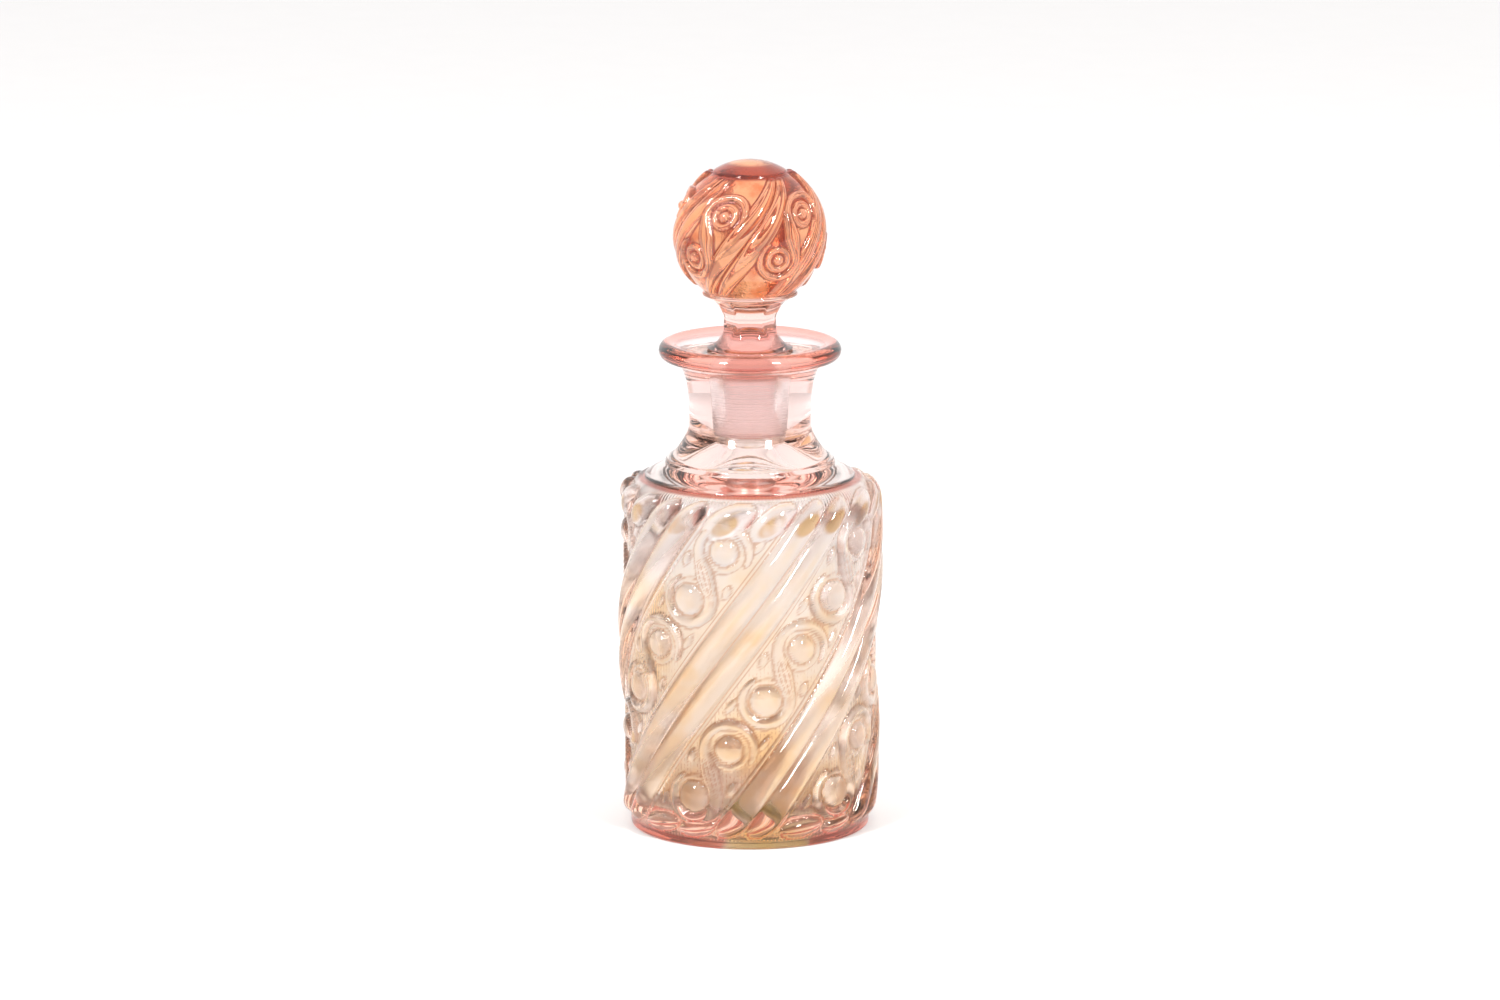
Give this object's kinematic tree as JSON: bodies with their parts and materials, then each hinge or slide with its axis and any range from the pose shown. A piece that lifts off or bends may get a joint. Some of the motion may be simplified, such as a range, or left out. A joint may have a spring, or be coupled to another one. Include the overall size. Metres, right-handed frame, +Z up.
{
  "type": "scent bottle",
  "caption": "Cylindrical scent bottle of pressed glass with a swirled scroll and rib pattern, a flared lip and a ball-topped ground-glass stopper that lifts out.",
  "frame": {"origin": "middle of the foot, on the surface that the bottle stands on", "axes": "+Z up along the axis of the bottle and stopper; -Y is the front of the pattern and +X is to its right"},
  "size_m": [0.0646, 0.0646, 0.1651],
  "materials": {
    "rose_glass": "pressed glass, fire-polished, tinted rose at the foot and lip and amber over the body",
    "salmon_glass": "pressed glass, salmon, with a satin ground plug"
  },
  "bodies": {
    "bottle": {"bottle": "rose_glass"},
    "stopper": {"stopper": "salmon_glass"}
  },
  "joints": [
    {"name": "stopper_lift", "type": "slide", "parent": "bottle", "child": "stopper", "axis": [0, 0, 1], "range_m": [0, 0.04]}
  ]
}
